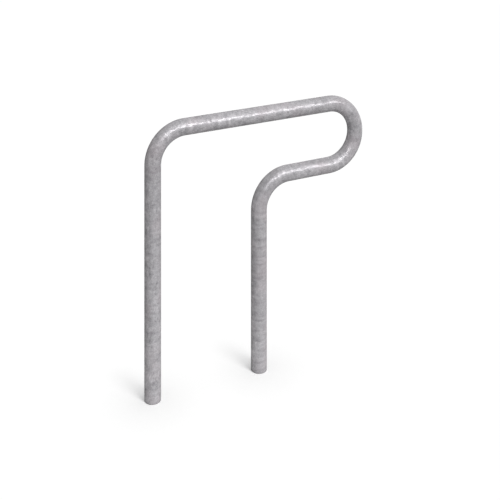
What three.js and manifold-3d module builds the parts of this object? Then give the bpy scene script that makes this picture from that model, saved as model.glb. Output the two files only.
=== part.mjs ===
// Hoop bike rack: one round steel tube, bent in a plane and cast into the ground by its two roots.
// Millimetres, +Z up. The origin is on the ground line, midway between the axes of the two legs.
// +X runs along the hoop towards its loop, and Y is square to the plane of the hoop.

import * as THREE from 'three';
import { mergeVertices } from 'three/addons/utils/BufferGeometryUtils.js';
import Module from 'manifold-3d';

// Tube. Heights and spacings are taken to its centreline.
const tubeDiameter = 50;
const tubeWall = 3;
const legSpacing = 350;
const topBarHeight = 800;
const barDrop = 200;
const loopReach = 700;
const cornerRadius = 100;
const rootDepth = 200;

// Anchor bars, one across each root
const anchorDiameter = 12;
const anchorProjection = 50;
const anchorRise = 50;
const anchorChamfer = 1;

// Fillet welds between an anchor bar and the tube
const weldLeg = 6;
const weldCrown = 1;
const weldToe = 0.6;

// Gap between pieces that meet, and how far a cutter runs past what it cuts
const clearance = 0.3;
const cutOverrun = 5;

// Facet counts
const tubeSides = 48;
const boreSides = 24;
const cornerSteps = 12;
const anchorSides = 24;
const weldFaceSteps = 3;

const tubeRadius = tubeDiameter / 2;
const boreRadius = tubeRadius - tubeWall;
const anchorRadius = anchorDiameter / 2;
const loopRadius = barDrop / 2;
const legX = legSpacing / 2;
const anchorZ = anchorRise - rootDepth;

const wasm = await Module();
wasm.setup();

// A curve through stations, each a point with its direction. They are taken one by one whatever
// their spacing, so a straight costs one step and the steps go into the bends.
class StationCurve extends THREE.Curve {
  constructor(stations) {
    super();
    this.stations = stations;
  }

  getUtoTmapping(share) {
    return share;
  }

  stationAt(share) {
    return this.stations[Math.round(share * (this.stations.length - 1))];
  }

  getPoint(share, target = new THREE.Vector3()) {
    return target.copy(this.stationAt(share).point);
  }

  getTangent(share, target = new THREE.Vector3()) {
    return target.copy(this.stationAt(share).tangent);
  }
}

// Walks the centreline as a tube bender does: a straight length, then a bend by an angle.
// A positive angle turns to the left, seen from the front.
class TubeWalk {
  constructor(x, z, heading) {
    this.x = x;
    this.z = z;
    this.heading = heading;
    this.stations = [];
    this.mark();
  }

  mark() {
    this.stations.push({
      point: new THREE.Vector3(this.x, 0, this.z),
      tangent: new THREE.Vector3(Math.cos(this.heading), 0, Math.sin(this.heading)),
    });
  }

  straight(length) {
    this.x += length * Math.cos(this.heading);
    this.z += length * Math.sin(this.heading);
    this.mark();
  }

  bend(angle, radius, steps) {
    const step = angle / steps;
    const chord = 2 * radius * Math.sin(Math.abs(step) / 2);
    for (let i = 0; i < steps; i += 1) {
      this.x += chord * Math.cos(this.heading + step / 2);
      this.z += chord * Math.sin(this.heading + step / 2);
      this.heading += step;
      this.mark();
    }
  }
}

function tubePath() {
  const quarterTurn = Math.PI / 2;
  const walk = new TubeWalk(-legX, -rootDepth, quarterTurn);
  walk.straight(rootDepth + topBarHeight - cornerRadius);
  walk.bend(-quarterTurn, cornerRadius, cornerSteps);
  walk.straight(loopReach - cornerRadius - loopRadius);
  walk.bend(-2 * quarterTurn, loopRadius, 2 * cornerSteps);
  walk.straight(loopReach - loopRadius - cornerRadius - legSpacing);
  walk.bend(quarterTurn, cornerRadius, cornerSteps);
  walk.straight(topBarHeight - barDrop - cornerRadius + rootDepth);
  return new StationCurve(walk.stations);
}

function circlePoints(radius, sides) {
  return new THREE.EllipseCurve(0, 0, radius, radius).getPoints(sides).slice(0, sides);
}

function toSolid(geometry) {
  const bare = geometry.clone();
  bare.deleteAttribute('normal');
  bare.deleteAttribute('uv');
  const merged = mergeVertices(bare);
  return new wasm.Manifold(new wasm.Mesh({
    numProp: 3,
    vertProperties: merged.attributes.position.array,
    triVerts: Uint32Array.from(merged.index.array),
  }));
}

function toGeometry(solid) {
  const mesh = solid.getMesh();
  const geometry = new THREE.BufferGeometry();
  geometry.setAttribute('position', new THREE.BufferAttribute(mesh.vertProperties, mesh.numProp));
  geometry.setIndex(new THREE.BufferAttribute(mesh.triVerts, 1));
  geometry.computeVertexNormals();
  return geometry;
}

// The hoop is one hollow tube with open ends, drilled across both roots for the anchor bars
function bentTubeGeometry() {
  const section = new THREE.Shape(circlePoints(tubeRadius, tubeSides));
  section.holes.push(new THREE.Path(circlePoints(boreRadius, boreSides)));
  const path = tubePath();
  const tube = new THREE.ExtrudeGeometry(section, {
    steps: path.stations.length - 1,
    extrudePath: path,
  });
  let solid = toSolid(tube);
  const holeRadius = anchorRadius + clearance;
  const holeLength = tubeDiameter + 2 * cutOverrun;
  for (const x of [-legX, legX]) {
    const drill = new THREE.CylinderGeometry(holeRadius, holeRadius, holeLength, anchorSides);
    drill.translate(x, 0, anchorZ);
    solid = solid.subtract(toSolid(drill));
  }
  return toGeometry(solid);
}

// A round bar along Y with chamfered ends, centred on the tube's axis
function anchorBarGeometry() {
  const halfLength = tubeRadius + anchorProjection;
  const profile = [
    new THREE.Vector2(0, -halfLength),
    new THREE.Vector2(anchorRadius - anchorChamfer, -halfLength),
    new THREE.Vector2(anchorRadius, anchorChamfer - halfLength),
    new THREE.Vector2(anchorRadius, halfLength - anchorChamfer),
    new THREE.Vector2(anchorRadius - anchorChamfer, halfLength),
    new THREE.Vector2(0, halfLength),
  ];
  return new THREE.LatheGeometry(profile, anchorSides);
}

// A fillet ring round the bar. It is turned flat, then every point is lifted by the height of the
// tube's wall below it, so the ring lies on the round tube all the way.
function weldGeometry() {
  const innerRadius = anchorRadius + clearance;
  const outerRadius = anchorRadius + weldLeg;
  const toe = new THREE.Vector2(outerRadius, clearance + weldToe);
  const top = new THREE.Vector2(innerRadius, clearance + weldLeg);
  const crown = toe.clone().add(top).multiplyScalar(0.5).addScalar(weldCrown);
  const profile = [
    new THREE.Vector2(innerRadius, clearance),
    new THREE.Vector2(outerRadius, clearance),
    ...new THREE.QuadraticBezierCurve(toe, crown, top).getPoints(weldFaceSteps),
    new THREE.Vector2(innerRadius, clearance),
  ];
  const ring = new THREE.LatheGeometry(profile, anchorSides);
  const position = ring.attributes.position;
  for (let i = 0; i < position.count; i += 1) {
    const wallHeight = Math.sqrt(tubeRadius ** 2 - position.getX(i) ** 2);
    position.setY(i, position.getY(i) + wallHeight);
  }
  return ring;
}

function galvanised(color, roughness) {
  return new THREE.MeshStandardMaterial({ color, roughness, metalness: 0.9 });
}

function namedMesh(name, geometry, material) {
  const mesh = new THREE.Mesh(geometry, material);
  mesh.name = name;
  return mesh;
}

// The anchor bar of one root with its front and back welds
function rootAnchor(side, x) {
  const anchor = new THREE.Group();
  anchor.position.set(x, 0, anchorZ);
  const frontWeld = namedMesh(`${side}_front_weld`, weldGeometry(), galvanised(0x9c9a9e, 0.6));
  frontWeld.rotation.z = Math.PI;
  anchor.add(
    namedMesh(`${side}_anchor_bar`, anchorBarGeometry(), galvanised(0xa3a1a5, 0.5)),
    frontWeld,
    namedMesh(`${side}_back_weld`, weldGeometry(), galvanised(0x9c9a9e, 0.6)),
  );
  return anchor;
}

const rack = new THREE.Group();
rack.add(
  namedMesh('bent_tube', bentTubeGeometry(), galvanised(0xaba9ac, 0.45)),
  rootAnchor('left', -legX),
  rootAnchor('right', legX),
);

export default rack;
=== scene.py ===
import math

import bmesh
import bpy
from mathutils import Matrix, Vector


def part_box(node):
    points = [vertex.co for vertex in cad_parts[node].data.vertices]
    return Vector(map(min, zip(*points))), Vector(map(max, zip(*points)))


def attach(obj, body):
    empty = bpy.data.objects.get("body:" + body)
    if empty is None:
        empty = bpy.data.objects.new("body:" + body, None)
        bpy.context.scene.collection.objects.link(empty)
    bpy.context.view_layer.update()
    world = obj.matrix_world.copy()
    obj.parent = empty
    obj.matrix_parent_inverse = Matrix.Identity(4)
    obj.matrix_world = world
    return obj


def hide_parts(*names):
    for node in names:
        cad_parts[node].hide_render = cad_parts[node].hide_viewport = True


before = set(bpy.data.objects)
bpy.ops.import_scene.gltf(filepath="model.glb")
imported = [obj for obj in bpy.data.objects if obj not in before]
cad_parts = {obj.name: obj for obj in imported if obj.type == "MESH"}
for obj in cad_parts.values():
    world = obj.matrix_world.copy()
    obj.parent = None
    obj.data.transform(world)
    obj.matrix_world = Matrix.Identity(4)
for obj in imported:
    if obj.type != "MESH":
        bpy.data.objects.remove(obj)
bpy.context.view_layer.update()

# Hoop bike rack: one bent tube in hot-dip galvanised steel, standing in a white floor.
# Metres, +Z up. The hoop lies in the XZ plane, with its tall leg at -X and its loop at +X.

scene = bpy.context.scene
mm = 0.001
tubeLow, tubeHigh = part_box("bent_tube")
tubeRadius = (tubeHigh.y - tubeLow.y) / 2


# Small helpers

def hexToLinear(code):
    # an sRGB hex colour, as a paint chart gives it, turned to Blender's linear colour
    channels = [int(code[i:i + 2], 16) / 255 for i in (1, 3, 5)]
    return [c / 12.92 if c <= 0.04045 else ((c + 0.055) / 1.055) ** 2.4 for c in channels] + [1.0]


def addNode(tree, kind, inputs=None, **settings):
    # inputs go from a socket's name or number to a value, or to the socket that feeds it
    node = tree.nodes.new(kind)
    for name, value in settings.items():
        setattr(node, name, value)
    for socket, value in (inputs or {}).items():
        if isinstance(value, bpy.types.NodeSocket):
            tree.links.new(value, node.inputs[socket])
        else:
            node.inputs[socket].default_value = value
    return node


# Camera. It looks level and frames downwards, as a camera with a falling front does,
# so the legs stay upright in the picture.

cameraView = {
    "place": (-1.0324, -2.5785, 1.7906),
    "azimuth": 24.53,       # degrees from +Y towards +X
    "drop": 0.4974,         # how far the frame's middle falls per metre ahead
    "lens": 72.76,          # mm on a 36 mm wide sensor
}


def makeCamera(view):
    turn = math.radians(view["azimuth"])
    right = Vector((math.cos(turn), -math.sin(turn), 0))
    up = Vector((0, 0, 1))
    ahead = Vector((math.sin(turn), math.cos(turn), -view["drop"])).normalized()
    tripod = bpy.data.objects.new("tripod", None)
    tripod.location = view["place"]
    scene.collection.objects.link(tripod)
    data = bpy.data.cameras.new("camera")
    data.lens = view["lens"]
    data.sensor_width = 36
    camera = bpy.data.objects.new("camera", data)
    scene.collection.objects.link(camera)
    camera.parent = tripod
    camera.matrix_parent_inverse = Matrix((right, up, -ahead)).transposed().to_4x4()
    scene.camera = camera


makeCamera(cameraView)
print("camera placed")


# Rings of points joined to a skin, for the round pieces

def joinRings(name, rings, endless=False):
    # endless joins the last ring to the first, and otherwise each end gets a cap
    size = len(rings[0])
    points = [point for ring in rings for point in ring]
    faces = []
    for i in range(len(rings) if endless else len(rings) - 1):
        here, there = i * size, (i + 1) % len(rings) * size
        faces += [(here + j, here + (j + 1) % size, there + (j + 1) % size, there + j)
                  for j in range(size)]
    if not endless:
        faces += [range(size), range(len(points) - size, len(points))]
    shell = bmesh.new()
    corners = [shell.verts.new(point) for point in points]
    for face in faces:
        shell.faces.new([corners[i] for i in face])
    bmesh.ops.recalc_face_normals(shell, faces=shell.faces)
    mesh = bpy.data.meshes.new(name)
    shell.to_mesh(mesh)
    shell.free()
    mesh.shade_smooth()
    piece = bpy.data.objects.new(name, mesh)
    scene.collection.objects.link(piece)
    return piece


# Anchors: a round bar through each root, with a fillet weld where it enters the tube, front and back

anchorSides = ("left", "right")
anchorSizes = {
    "sides": 64,
    "gap": 0.3 * mm,            # round the bar in its hole
    "drillPast": 5 * mm,
    "chamfer": 1 * mm,          # where the bar was cut off
    "barSharp": 30,             # degrees between two faces, from which their edge stays crisp
    "ringSpacing": 5 * mm,
    "weldLeg": 6 * mm,
    "weldCrown": 1 * mm,
    "weldToe": 0.3 * mm,
    "weldGap": 0.05 * mm,       # keeps the bead a piece of its own
    "ripples": 35,              # about 1.6 mm each, as a hand-held torch leaves them
    "rippleSteps": 8,
    "rippleHeight": 0.3 * mm,
    "rippleLag": 2.4,           # radians by which a ripple's middle trails its ends
    "stopPlace": 1.1,           # radians round the bar, where the bead runs over its own start
    "stopWidth": 0.25,          # radians
    "stopHeight": 0.5 * mm,
    "faceSteps": 10,
    "weldSharp": 60,            # degrees
}


def barPlace(side):
    # the bar's middle and its radius
    low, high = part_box(side + "_anchor_bar")
    return (low + high) / 2, (high.z - low.z) / 2


def barRings(middle, stations):
    turns = [2 * math.pi * i / anchorSizes["sides"] for i in range(anchorSizes["sides"])]
    return [[(middle.x + radius * math.cos(turn), middle.y + y, middle.z + radius * math.sin(turn))
             for turn in turns] for radius, y in stations]


def makeBar(side):
    middle, radius = barPlace(side)
    low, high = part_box(side + "_anchor_bar")
    halfLength = (high.y - low.y) / 2
    chamfer = anchorSizes["chamfer"]
    body = halfLength - chamfer
    count = round(2 * body / anchorSizes["ringSpacing"])
    stations = [(radius - chamfer, -halfLength)]
    stations += [(radius, -body + 2 * body * i / count) for i in range(count + 1)]
    stations += [(radius - chamfer, halfLength)]
    bar = joinRings(side + "_round_bar", barRings(middle, stations))
    bar.data.set_sharp_from_angle(angle=math.radians(anchorSizes["barSharp"]))
    return bar


def weldFace(inner, outer, bottom):
    # the bead's section: two corners at its bottom, then its crowned face from the toe to the bar.
    # Each point has its distance from the bar's axis, its height over the tube and its share of
    # the way up the face.
    toe = Vector((outer, bottom + anchorSizes["weldToe"]))
    top = Vector((inner, bottom + anchorSizes["weldLeg"]))
    bulge = anchorSizes["weldCrown"]
    crown = (toe + top) / 2 + Vector((bulge, bulge))
    points = [(inner, bottom, 0), (outer, bottom, 0)]
    for i in range(anchorSizes["faceSteps"] + 1):
        share = i / anchorSizes["faceSteps"]
        spot = toe * (1 - share) ** 2 + crown * 2 * share * (1 - share) + top * share ** 2
        points.append((spot.x, spot.y, share))
    return points


def makeWeld(side, face, outward):
    middle, radius = barPlace(side)
    inner = radius + anchorSizes["weldGap"]
    outer = radius + anchorSizes["weldLeg"]
    section = weldFace(inner, outer, anchorSizes["weldGap"])
    ripples = anchorSizes["ripples"]
    count = ripples * anchorSizes["rippleSteps"]
    lean = math.sqrt(0.5)       # the face leans at 45 degrees, so ripples rise outwards and upwards alike
    rings = []
    for i in range(count):
        turn = 2 * math.pi * i / count
        fromStop = math.remainder(turn - anchorSizes["stopPlace"], 2 * math.pi) / anchorSizes["stopWidth"]
        stop = anchorSizes["stopHeight"] * math.exp(-fromStop ** 2)
        ring = []
        for distance, height, share in section:
            hump = math.sin(math.pi * share)
            wave = abs(math.sin((turn * ripples + anchorSizes["rippleLag"] * hump) / 2))
            lift = lean * hump * (anchorSizes["rippleHeight"] * (wave - 1) + stop)
            distance += lift
            x = distance * math.cos(turn)
            wall = math.sqrt(tubeRadius ** 2 - x ** 2)
            ring.append((middle.x + x, outward * (wall + height + lift),
                         middle.z + distance * math.sin(turn)))
        rings.append(ring)
    bead = joinRings(side + "_" + face + "_bead", rings, endless=True)
    bead.data.set_sharp_from_angle(angle=math.radians(anchorSizes["weldSharp"]))
    return bead


# Tube. Its places come from the CAD model's boxes, and its drop, bend and wall are the bender's sizes.

tubeSizes = {
    "Tall Leg X": tubeLow.x + tubeRadius,
    "Short Leg X": sum(corner.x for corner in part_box("right_anchor_bar")) / 2,
    "Loop End X": tubeHigh.x - tubeRadius,
    "Root End Z": tubeLow.z,
    "Top Bar Z": tubeHigh.z - tubeRadius,
    "Bar Drop": 200 * mm,
    "Bend Radius": 100 * mm,
    "Tube Radius": tubeRadius,
    "Ring Spacing": 9 * mm,
    "Sides": 80,
}
tubeTrim = {
    "wall": 3 * mm,
    "rimRound": 0.4 * mm,       # the sawn ends, as the zinc rounds them
    "bendPoints": 64,           # in each bend, before the path is cut into even steps
    "sharp": 50,                # degrees between two faces, from which their edge stays crisp
}


def tubeSweepTree():
    # Six corners joined by straights, rounded with one bend radius, and a circle swept along them
    tree = bpy.data.node_groups.new("bentTubeSweep", "GeometryNodeTree")
    tree.interface.new_socket("Geometry", in_out="INPUT", socket_type="NodeSocketGeometry")
    for name, value in tubeSizes.items():
        kind = "NodeSocketInt" if name == "Sides" else "NodeSocketFloat"
        tree.interface.new_socket(name, in_out="INPUT", socket_type=kind)
    tree.interface.new_socket("Material", in_out="INPUT", socket_type="NodeSocketMaterial")
    tree.interface.new_socket("Geometry", in_out="OUTPUT", socket_type="NodeSocketGeometry")
    sizes = addNode(tree, "NodeGroupInput").outputs
    lowerZ = addNode(tree, "ShaderNodeMath", {0: sizes["Top Bar Z"], 1: sizes["Bar Drop"]},
                     operation="SUBTRACT").outputs[0]
    corners = [
        (sizes["Tall Leg X"], sizes["Root End Z"]),
        (sizes["Tall Leg X"], sizes["Top Bar Z"]),
        (sizes["Loop End X"], sizes["Top Bar Z"]),
        (sizes["Loop End X"], lowerZ),
        (sizes["Short Leg X"], lowerZ),
        (sizes["Short Leg X"], sizes["Root End Z"]),
    ]
    pick = addNode(tree, "GeometryNodeIndexSwitch", data_type="VECTOR")
    while len(pick.index_switch_items) < len(corners):
        pick.index_switch_items.new()
    tree.links.new(addNode(tree, "GeometryNodeInputIndex").outputs[0], pick.inputs[0])
    for number, (x, z) in enumerate(corners):
        place = addNode(tree, "ShaderNodeCombineXYZ", {"X": x, "Z": z})
        tree.links.new(place.outputs[0], pick.inputs[number + 1])
    line = addNode(tree, "GeometryNodeMeshLine", {"Count": len(corners)})
    moved = addNode(tree, "GeometryNodeSetPosition",
                    {"Geometry": line.outputs[0], "Position": pick.outputs[0]})
    path = addNode(tree, "GeometryNodeMeshToCurve", {"Mesh": moved.outputs[0]})
    bent = addNode(tree, "GeometryNodeFilletCurve",
                   {"Curve": path.outputs[0], "Count": tubeTrim["bendPoints"],
                    "Radius": sizes["Bend Radius"], "Limit Radius": True}, mode="POLY")
    even = addNode(tree, "GeometryNodeResampleCurve",
                   {"Curve": bent.outputs[0], "Length": sizes["Ring Spacing"]}, mode="LENGTH")
    # The two stored attributes straighten the tube out again, so its finish can follow it
    along = addNode(tree, "GeometryNodeStoreNamedAttribute",
                    {"Geometry": even.outputs[0], "Name": "alongTube",
                     "Value": addNode(tree, "GeometryNodeSplineParameter").outputs["Length"]},
                    data_type="FLOAT", domain="POINT")
    circle = addNode(tree, "GeometryNodeCurvePrimitiveCircle",
                     {"Resolution": sizes["Sides"], "Radius": sizes["Tube Radius"]}, mode="RADIUS")
    section = addNode(tree, "GeometryNodeStoreNamedAttribute",
                      {"Geometry": circle.outputs[0], "Name": "sectionPlace",
                       "Value": addNode(tree, "GeometryNodeInputPosition").outputs[0]},
                      data_type="FLOAT_VECTOR", domain="POINT")
    skin = addNode(tree, "GeometryNodeCurveToMesh",
                   {"Curve": along.outputs[0], "Profile Curve": section.outputs[0]})
    smooth = addNode(tree, "GeometryNodeSetShadeSmooth", {"Geometry": skin.outputs[0]})
    real = addNode(tree, "GeometryNodeRealizeInstances", {"Geometry": smooth.outputs[0]})
    done = addNode(tree, "GeometryNodeSetMaterial",
                   {"Geometry": real.outputs[0], "Material": sizes["Material"]})
    addNode(tree, "NodeGroupOutput", {"Geometry": done.outputs[0]})
    return tree


def setInputs(modifier, values):
    identifiers = {item.name: item.identifier
                   for item in modifier.node_group.interface.items_tree
                   if item.item_type == "SOCKET" and item.in_out == "INPUT"}
    for name, value in values.items():
        modifier[identifiers[name]] = value


def plainMesh(piece):
    # the piece as its modifiers leave it, with the modifiers gone
    depsgraph = bpy.context.evaluated_depsgraph_get()
    made = bpy.data.meshes.new_from_object(piece.evaluated_get(depsgraph), depsgraph=depsgraph)
    piece.modifiers.clear()
    piece.data = made
    return made


def drillRoots(tube):
    # a round hole across each root, through both walls, for its anchor bar
    reach = tubeRadius + anchorSizes["drillPast"]
    for side in anchorSides:
        middle, radius = barPlace(side)
        radius += anchorSizes["gap"]
        drill = joinRings(side + "Drill", barRings(middle, [(radius, -reach), (radius, reach)]))
        cut = tube.modifiers.new(side + "Hole", "BOOLEAN")
        cut.operation = "DIFFERENCE"
        cut.solver = "EXACT"
        cut.object = drill


def straightenHoles(mesh):
    # the points of the holes' edges get the straightened place that the legs' own points have,
    # and so does every other point of a leg near its hole
    along = mesh.attributes["alongTube"].data
    section = mesh.attributes["sectionPlace"].data
    rootEnd = tubeSizes["Root End Z"]
    length = max(place.value for place in along)
    for side in anchorSides:
        middle, radius = barPlace(side)
        for point in mesh.vertices:
            x, y, z = point.co - Vector((middle.x, 0, 0))
            if abs(x) < 2 * tubeRadius and abs(z - middle.z) < 2 * radius:
                first = middle.x < 0
                along[point.index].value = z - rootEnd if first else length - (z - rootEnd)
                section[point.index].vector = (x if first else -x, y, 0)


def makeTube(material):
    tube = bpy.data.objects.new("galvanised_tube", bpy.data.meshes.new("galvanised_tube"))
    scene.collection.objects.link(tube)
    sweep = tube.modifiers.new("sweep", "NODES")
    sweep.node_group = tubeSweepTree()
    setInputs(sweep, {**tubeSizes, "Material": material})
    wall = tube.modifiers.new("wall", "SOLIDIFY")
    wall.thickness = tubeTrim["wall"]
    wall.offset = -1
    rim = tube.modifiers.new("sawnRim", "BEVEL")
    rim.width = tubeTrim["rimRound"]
    rim.segments = 2
    rim.limit_method = "ANGLE"
    drillRoots(tube)
    mesh = plainMesh(tube)
    for side in anchorSides:
        bpy.data.objects.remove(bpy.data.objects[side + "Drill"])
    straightenHoles(mesh)
    mesh.set_sharp_from_angle(angle=math.radians(tubeTrim["sharp"]))
    return tube


# Materials

def newMaterial(name):
    material = bpy.data.materials.new(name)
    material.use_nodes = True
    material.node_tree.nodes.clear()
    return material, material.node_tree


def weigh(tree, start, pattern, weights):
    # start plus each part's difference from its middle value of 0.5, times the part's weight
    total = start
    for part, weight in weights.items():
        level = addNode(tree, "ShaderNodeMath", {0: pattern[part], 1: 0.5}, operation="SUBTRACT").outputs[0]
        total = addNode(tree, "ShaderNodeMath", {0: level, 1: weight, 2: total},
                        operation="MULTIPLY_ADD").outputs[0]
    return total


zinc = {
    "cloud": 34 * mm,           # broad dull and bright areas in the zinc
    "patch": 11 * mm,           # smaller mottling inside them
    "crystal": 20 * mm,         # zinc crystals, mostly dulled over
    "wander": 6 * mm,           # how far their borders stray
    "featherLong": 17 * mm,     # the streaks inside a crystal, along and across, drawn several
    "featherWide": 3.2 * mm,    # times coarser than real ones, so that they show
    "grain": 3.4 * mm,          # real grain is under 1 mm, and it is drawn this coarse so that it shows
    "ring": 8 * mm,             # bands round the tube, where the zinc ran off it
    "ringLong": 70 * mm,        # how far round a band goes before it changes
    "stain": 60 * mm,           # areas of warm tarnish
    "tarnish": 0.2,             # share of its colour where it is strongest
    "metal": 0.33,              # share of bare metal, because the patina over it is dull
    "bare": {"patches": 0.6, "grain": 0.5, "crystals": 0.12},   # what that share follows
    "uneven": {"clouds": 0.4, "patches": 1.2},      # what the coat's roughness follows
    "relief": {"clouds": 0.1, "patches": 0.4},      # and what its thickness follows
}


def zincPattern(tree, place, outward):
    # Mottling of a hot-dip zinc coat. place is the straightened place on the piece, and outward is
    # the direction out of its surface, about which each crystal's feathers are turned.
    clouds = addNode(tree, "ShaderNodeTexNoise",
                     {"Vector": place, "Scale": 1 / zinc["cloud"], "Detail": 1.0})
    patches = addNode(tree, "ShaderNodeTexNoise",
                      {"Vector": place, "Scale": 1 / zinc["patch"], "Detail": 2.0})
    sway = addNode(tree, "ShaderNodeTexNoise",
                   {"Vector": place, "Scale": 1 / zinc["crystal"], "Detail": 0.0})
    wobble = addNode(tree, "ShaderNodeVectorMath",
                     {0: sway.outputs["Color"], 1: [zinc["wander"]] * 3, 2: place},
                     operation="MULTIPLY_ADD")
    crystals = addNode(tree, "ShaderNodeTexVoronoi",
                       {"Vector": wobble.outputs[0], "Scale": 1 / zinc["crystal"]})
    pick = addNode(tree, "ShaderNodeSeparateColor", {"Color": crystals.outputs["Color"]})
    turn = addNode(tree, "ShaderNodeMath", {0: pick.outputs[0], 1: 2 * math.pi}, operation="MULTIPLY")
    turned = addNode(tree, "ShaderNodeVectorRotate",
                     {"Vector": place, "Axis": outward, "Angle": turn.outputs[0]},
                     rotation_type="AXIS_ANGLE")
    across, lengthwise = 1 / zinc["featherWide"], 1 / zinc["featherLong"]
    stretched = addNode(tree, "ShaderNodeMapping",
                        {"Vector": turned.outputs[0], "Scale": (across, across, lengthwise)})
    feathers = addNode(tree, "ShaderNodeTexNoise",
                       {"Vector": stretched.outputs[0], "Scale": 1.0, "Detail": 1.0})
    grain = addNode(tree, "ShaderNodeTexNoise",
                    {"Vector": place, "Scale": 1 / zinc["grain"], "Detail": 2.0})
    banded = addNode(tree, "ShaderNodeMapping",
                     {"Vector": place,
                      "Scale": (1 / zinc["ringLong"], 1 / zinc["ringLong"], 1 / zinc["ring"])})
    rings = addNode(tree, "ShaderNodeTexNoise",
                    {"Vector": banded.outputs[0], "Scale": 1.0, "Detail": 2.0})
    return {"clouds": clouds.outputs[0], "patches": patches.outputs[0], "crystals": pick.outputs[1],
            "feathers": feathers.outputs[0], "grain": grain.outputs[0], "rings": rings.outputs[0]}


tubeFinish = {
    "dull": "#6b696d",      # zinc patina at its darkest
    "bright": "#cbc9cc",    # fresh zinc at its brightest
    "blush": "#b9abb0",     # faint warm tarnish
    "edge": "#a0a0a0",      # what the dulled coat reflects where it is seen at a slant
    "smooth": 0.287,        # roughness where the coat is brightest and dullest
    "rough": 0.35,
    "slanted": 0.7,         # and seen at a slant, where the crystals' rims scatter a glint
    "lump": 2.6 * mm,       # unevenness of the clouds and patches
    "pit": 0.5 * mm,        # and of the grain
    "tone": 0.5,            # between dull and bright, before the mottling
    "mottle": {"clouds": 0.28, "patches": 0.62, "crystals": 0.14, "feathers": 1.1, "grain": 0.85},
    "rings": 0.42,          # strength of the bands round the tube
    "shortLegRings": 0.8,   # and on the short leg, where more zinc ran off
    "shortLegCalm": 0.74,   # contrast of the short leg's mottling, against 1 elsewhere
    "shortLegStart": 1.99,  # metres along the tube
    "shortLegBlend": 0.05,  # metres to either side of that, where one goes over into the other
}
barFinish = {
    "dull": "#656367", "bright": "#c4c2c5", "blush": "#b3a6ab", "edge": "#a0a0a0",
    "smooth": 0.34, "rough": 0.48, "slanted": 0.7, "lump": 0.8 * mm, "pit": 0.35 * mm,
    "tone": 0.42,
    "mottle": {"clouds": 0.40, "patches": 0.60, "feathers": 0.35, "grain": 0.85, "millLines": 0.35},
    "lineWide": 1.2 * mm,   # the mill's drawing lines, several times coarser than real, so that they show
    "lineLong": 45 * mm,
}
weldFinish = {
    "dull": "#5f5d61", "bright": "#bdbbbf", "blush": "#aaa0a5", "edge": "#a0a0a0",
    "smooth": 0.38, "rough": 0.56, "slanted": 0.7, "lump": 0.8 * mm, "pit": 0.6 * mm,
    "tone": 0.36,
    "mottle": {"clouds": 0.30, "patches": 0.80, "grain": 1.0},
}


def coatWithZinc(tree, place, pattern, tone, finish):
    # colour, gloss and unevenness of the coat, from its pattern
    grey = addNode(tree, "ShaderNodeMix",
                   {"Factor": tone, "A": hexToLinear(finish["dull"]), "B": hexToLinear(finish["bright"])},
                   data_type="RGBA")
    stain = addNode(tree, "ShaderNodeTexNoise",
                    {"Vector": place, "Scale": 1 / zinc["stain"], "Detail": 1.0})
    warm = addNode(tree, "ShaderNodeMapRange",
                   {"Value": stain.outputs[0], "From Min": 0.45, "From Max": 0.75,
                    "To Max": zinc["tarnish"]})
    colour = addNode(tree, "ShaderNodeMix",
                     {"Factor": warm.outputs[0], "A": grey.outputs[2], "B": hexToLinear(finish["blush"])},
                     data_type="RGBA")
    facedOn = addNode(tree, "ShaderNodeMapRange",
                      {"Value": weigh(tree, 0.5, pattern, zinc["uneven"]),
                       "From Min": 0.15, "From Max": 0.85,
                       "To Min": finish["smooth"], "To Max": finish["rough"]})
    # slant is 0 where the coat is seen square on and 1 where it is seen edge-on
    slant = addNode(tree, "ShaderNodeLayerWeight", {"Blend": 0.5}).outputs["Facing"]
    roughness = addNode(tree, "ShaderNodeMapRange",
                        {"Value": slant, "From Min": 0.35, "From Max": 0.8,
                         "To Min": facedOn.outputs[0], "To Max": finish["slanted"]})
    metallic = weigh(tree, zinc["metal"], pattern, zinc["bare"])
    lumps = addNode(tree, "ShaderNodeBump",
                    {"Strength": 1.0, "Distance": finish["lump"],
                     "Height": weigh(tree, 0.0, pattern, zinc["relief"])})
    fine = addNode(tree, "ShaderNodeBump",
                   {"Strength": 1.0, "Distance": finish["pit"], "Height": pattern["grain"],
                    "Normal": lumps.outputs[0]})
    shader = addNode(tree, "ShaderNodeBsdfPrincipled",
                     {"Base Color": colour.outputs[2], "Metallic": metallic,
                      "Roughness": roughness.outputs[0], "Specular Tint": hexToLinear(finish["edge"]),
                      "Normal": fine.outputs[0]})
    addNode(tree, "ShaderNodeOutputMaterial", {"Surface": shader.outputs[0]})


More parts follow.
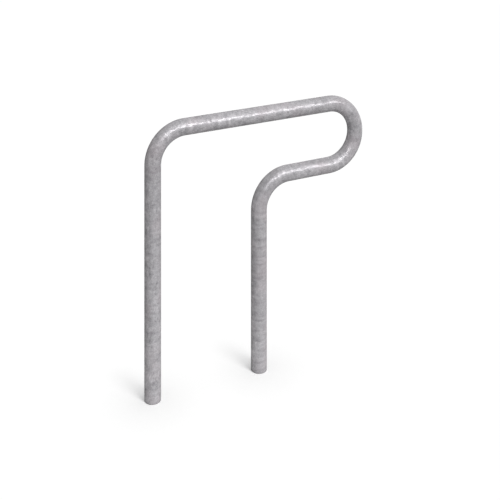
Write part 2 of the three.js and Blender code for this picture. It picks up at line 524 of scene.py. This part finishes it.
def makeGalvanisedSteel():
    # Bent tube, hot-dip galvanised after bending: a satin grey zinc coat with dulled crystals,
    # mottled, a little uneven, so its bright line wavers
    material, tree = newMaterial("hotDipGalvanisedSteel")
    along = addNode(tree, "ShaderNodeAttribute", attribute_name="alongTube").outputs["Fac"]
    section = addNode(tree, "ShaderNodeAttribute", attribute_name="sectionPlace").outputs["Vector"]
    lift = addNode(tree, "ShaderNodeCombineXYZ", {"Z": along})
    place = addNode(tree, "ShaderNodeVectorMath", {0: section, 1: lift.outputs[0]},
                    operation="ADD").outputs[0]
    pattern = zincPattern(tree, place, section)
    start, blend = tubeFinish["shortLegStart"], tubeFinish["shortLegBlend"]
    shortLeg = addNode(tree, "ShaderNodeMapRange",
                       {"Value": along, "From Min": start - blend, "From Max": start + blend}).outputs[0]
    rings = addNode(tree, "ShaderNodeMapRange",
                    {"Value": shortLeg, "To Min": tubeFinish["rings"],
                     "To Max": tubeFinish["shortLegRings"]}).outputs[0]
    calm = addNode(tree, "ShaderNodeMapRange",
                   {"Value": shortLeg, "To Min": 1.0, "To Max": tubeFinish["shortLegCalm"]}).outputs[0]
    pattern["mottle"] = weigh(tree, 0.5, pattern, {**tubeFinish["mottle"], "rings": rings})
    tone = weigh(tree, tubeFinish["tone"], pattern, {"mottle": calm})
    coatWithZinc(tree, place, pattern, tone, tubeFinish)
    return material


def makeBarSteel():
    # Round bar of the anchors, galvanised with the tube: a thinner, duller coat with the mill's lines
    # still showing faintly along it
    material, tree = newMaterial("galvanisedRoundBar")
    coords = addNode(tree, "ShaderNodeTexCoord")
    quarter = (math.radians(90), 0, 0)      # the bar lies along Y, and the pattern's length is its Z
    lengthwise = addNode(tree, "ShaderNodeMapping",
                         {"Vector": coords.outputs["Object"], "Rotation": quarter}).outputs[0]
    outward = addNode(tree, "ShaderNodeMapping",
                      {"Vector": coords.outputs["Normal"], "Rotation": quarter}).outputs[0]
    pattern = zincPattern(tree, lengthwise, outward)
    across = 1 / barFinish["lineWide"]
    millScale = addNode(tree, "ShaderNodeMapping",
                        {"Vector": lengthwise, "Scale": (across, across, 1 / barFinish["lineLong"])})
    pattern["millLines"] = addNode(tree, "ShaderNodeTexNoise",
                                   {"Vector": millScale.outputs[0], "Scale": 1.0,
                                    "Detail": 1.0}).outputs[0]
    tone = weigh(tree, barFinish["tone"], pattern, barFinish["mottle"])
    coatWithZinc(tree, lengthwise, pattern, tone, barFinish)
    return material


def makeWeldSteel():
    # Fillet weld under the same coat: the zinc lies thicker and greyer on it, in its ripples
    material, tree = newMaterial("galvanisedWeldBead")
    coords = addNode(tree, "ShaderNodeTexCoord")
    pattern = zincPattern(tree, coords.outputs["Object"], coords.outputs["Normal"])
    tone = weigh(tree, weldFinish["tone"], pattern, weldFinish["mottle"])
    coatWithZinc(tree, coords.outputs["Object"], pattern, tone, weldFinish)
    return material


tubeSteel = makeGalvanisedSteel()
tube = makeTube(tubeSteel)
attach(tube, "root")
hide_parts("bent_tube")
print("tube swept:", len(tube.data.polygons), "faces")

barSteel = makeBarSteel()
weldSteel = makeWeldSteel()


def addPiece(piece, node, material):
    # the detailed piece stands for the CAD node
    piece.data.materials.append(material)
    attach(piece, "root")
    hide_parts(node)


for side in anchorSides:
    bar = makeBar(side)
    addPiece(bar, side + "_anchor_bar", barSteel)
    for face, outward in (("front", -1), ("back", 1)):
        weld = makeWeld(side, face, outward)
        addPiece(weld, side + "_" + face + "_weld", weldSteel)
        print(side, face, "weld laid:", len(weld.data.polygons), "faces")
    print(side, "anchor bar cut:", len(bar.data.polygons), "faces")


# Floor, lamps and backdrop

def whereSeen(tree):
    # 1 for rays from the camera and for reflections and see-through, 0 for soft light on the object
    path = addNode(tree, "ShaderNodeLightPath")
    sharp = addNode(tree, "ShaderNodeMath",
                    {0: path.outputs["Is Camera Ray"], 1: path.outputs["Is Glossy Ray"]},
                    operation="MAXIMUM")
    return addNode(tree, "ShaderNodeMath", {0: sharp.outputs[0], 1: path.outputs["Is Transmission Ray"]},
                   operation="MAXIMUM").outputs[0]


floorSizes = {
    "half": 60.0,           # metres
    "paper": "#fbfbfb",     # white paper
    "evenGlow": 0.365,      # its own light, which keeps it white
    # The glow's open part paints a darker halo of shade round the legs' feet, where it fades.
    "openGlow": 0.625,      # and the part of it that fades close to the legs
    "openReach": 0.2,       # metres from a leg, out to which it fades
    "openPower": 4.0,       # how steeply it fades there
    # Painted shadow: out in the open the paper keeps only this share of the lamp's light, so the cast
    # shadow fades away from the legs.
    "openShadow": 0.08,     # share of the cast shadow's depth that is left out in the open
    "bounce": 0.75,         # share of its light that reaches the hoop from below
    "bounceNear": 0.3,      # metres from the hoop, out to which it throws soft light back
    "bounceFar": 0.6,       # and where that has faded to the dark of the room
    "room": "#2a2a2a",
}


def makeFloor(sizes):
    half = sizes["half"]
    mesh = bpy.data.meshes.new("floor")
    mesh.from_pydata([(-half, -half, 0), (half, -half, 0), (half, half, 0), (-half, half, 0)],
                     [], [(0, 1, 2, 3)])
    floor = bpy.data.objects.new("floor", mesh)
    scene.collection.objects.link(floor)
    material, tree = newMaterial("whitePaper")
    seen = whereSeen(tree)
    place = addNode(tree, "ShaderNodeTexCoord").outputs["Object"]
    reach = addNode(tree, "ShaderNodeVectorMath", {0: place}, operation="LENGTH").outputs["Value"]
    bounce = addNode(tree, "ShaderNodeMapRange",
                     {"Value": reach, "From Min": sizes["bounceFar"], "From Max": sizes["bounceNear"],
                      "To Max": sizes["bounce"]})
    # Painted shade: ambient occlusion dims the floor's glow close to the legs, so a darker halo is painted
    # round their feet, and the soft light it throws back at the hoop dims there too.
    occlusion = addNode(tree, "ShaderNodeAmbientOcclusion", {"Distance": sizes["openReach"]}, samples=16)
    openness = addNode(tree, "ShaderNodeMath", {0: occlusion.outputs["AO"], 1: sizes["openPower"]},
                       operation="POWER")
    thrown = addNode(tree, "ShaderNodeMath", {0: bounce.outputs[0], 1: openness.outputs[0]},
                     operation="MULTIPLY")
    whole = addNode(tree, "ShaderNodeMath", {0: seen, 1: thrown.outputs[0]}, operation="MAXIMUM")
    tone = addNode(tree, "ShaderNodeMix",
                   {"Factor": whole.outputs[0], "A": hexToLinear(sizes["room"]),
                    "B": hexToLinear(sizes["paper"])}, data_type="RGBA")
    # Painted shadow: the paper takes the lamp's light fully only close to the legs and barely out in the
    # open, where the glow keeps it white, so the legs' cast shadow shows beside them and fades away from
    # them.
    depth = addNode(tree, "ShaderNodeMapRange",
                    {"Value": openness.outputs[0], "To Min": 1.0, "To Max": sizes["openShadow"]})
    shaded = addNode(tree, "ShaderNodeVectorMath", {0: tone.outputs[2], "Scale": depth.outputs[0]},
                     operation="SCALE")
    paper = addNode(tree, "ShaderNodeBsdfDiffuse", {"Color": shaded.outputs[0]})
    light = addNode(tree, "ShaderNodeMath",
                    {0: openness.outputs[0], 1: sizes["openGlow"], 2: sizes["evenGlow"]},
                    operation="MULTIPLY_ADD")
    level = addNode(tree, "ShaderNodeMath", {0: whole.outputs[0], 1: light.outputs[0]},
                    operation="MULTIPLY")
    glow = addNode(tree, "ShaderNodeEmission", {"Strength": level.outputs[0]})
    both = addNode(tree, "ShaderNodeAddShader", {0: paper.outputs[0], 1: glow.outputs[0]})
    addNode(tree, "ShaderNodeOutputMaterial", {"Surface": both.outputs[0]})
    mesh.materials.append(material)
    return floor


floor = makeFloor(floorSizes)

stripLamp = {
    "place": (0.8, -2.3, 2.26),     # metres
    "aim": (0.8, 0, 0.8),
    "size": (4.4, 0.1),
    "power": 61,                    # watts
}
softLights = {
    # They light all but the floor. Azimuth in degrees from -Y towards +X, height above the floor, and
    # the width of the soft box as the hoop sees it. A strength of pi lights a surface that faces
    # the box to its own colour.
    "highBox": {"azimuth": 16, "height": 56, "width": 50, "strength": 2.54},
    "lowBox": {"azimuth": 5, "height": 14, "width": 24, "strength": 1.5},
    "sideBox": {"azimuth": 90, "height": 30, "width": 80, "strength": 0.84},
    "backBox": {"azimuth": 155, "height": 8, "width": 24, "strength": 2.2},
}
floorKey = {"azimuth": 20, "height": 40, "width": 22, "strength": 2.0}     # lights the floor alone
skyLevel = {"soft": 0.03, "seen": 1.0}      # as a light, and as the camera and reflections see it


def addLamp(name, data, away):
    # away points from what the lamp lights to the lamp
    light = bpy.data.objects.new(name, data)
    light.rotation_euler = away.to_track_quat("Z", "Y").to_euler()
    light.visible_camera = False
    scene.collection.objects.link(light)
    return light


def makeStrip(facts):
    # It shows only as the bright line along the bars. The soft boxes do the lighting.
    data = bpy.data.lights.new("stripLamp", "AREA")
    data.shape = "RECTANGLE"
    data.size, data.size_y = facts["size"]
    data.energy = facts["power"]
    light = addLamp("stripLamp", data, Vector(facts["place"]) - Vector(facts["aim"]))
    light.location = facts["place"]
    light.visible_diffuse = False


def floorAlone(name, state):
    # a list for light linking that takes in the floor only, or everything but the floor
    group = bpy.data.collections.new(name)
    group.objects.link(floor)
    group.collection_objects[0].light_linking.link_state = state
    return group


def makeSoftLight(name, facts, receivers):
    turn, rise = math.radians(facts["azimuth"]), math.radians(facts["height"])
    data = bpy.data.lights.new(name, "SUN")
    data.angle = math.radians(facts["width"])
    data.energy = facts["strength"]
    away = Vector((math.sin(turn) * math.cos(rise), -math.cos(turn) * math.cos(rise), math.sin(rise)))
    light = addLamp(name, data, away)
    light.visible_glossy = False
    light.light_linking.receiver_collection = receivers


makeStrip(stripLamp)
allButFloor = floorAlone("allButFloor", "EXCLUDE")
for name, facts in softLights.items():
    makeSoftLight(name, facts, allButFloor)
makeSoftLight("floorKey", floorKey, floorAlone("onlyFloor", "INCLUDE"))

world = bpy.data.worlds.new("studio")
scene.world = world
world.use_nodes = True
world.node_tree.nodes.clear()
bright = addNode(world.node_tree, "ShaderNodeMapRange",
                 {"Value": whereSeen(world.node_tree), "To Min": skyLevel["soft"],
                  "To Max": skyLevel["seen"]})
sky = addNode(world.node_tree, "ShaderNodeBackground",
              {"Color": (1, 1, 1, 1), "Strength": bright.outputs[0]})
addNode(world.node_tree, "ShaderNodeOutputWorld", {"Surface": sky.outputs[0]})
scene.view_settings.view_transform = "Standard"
print("stage lit")
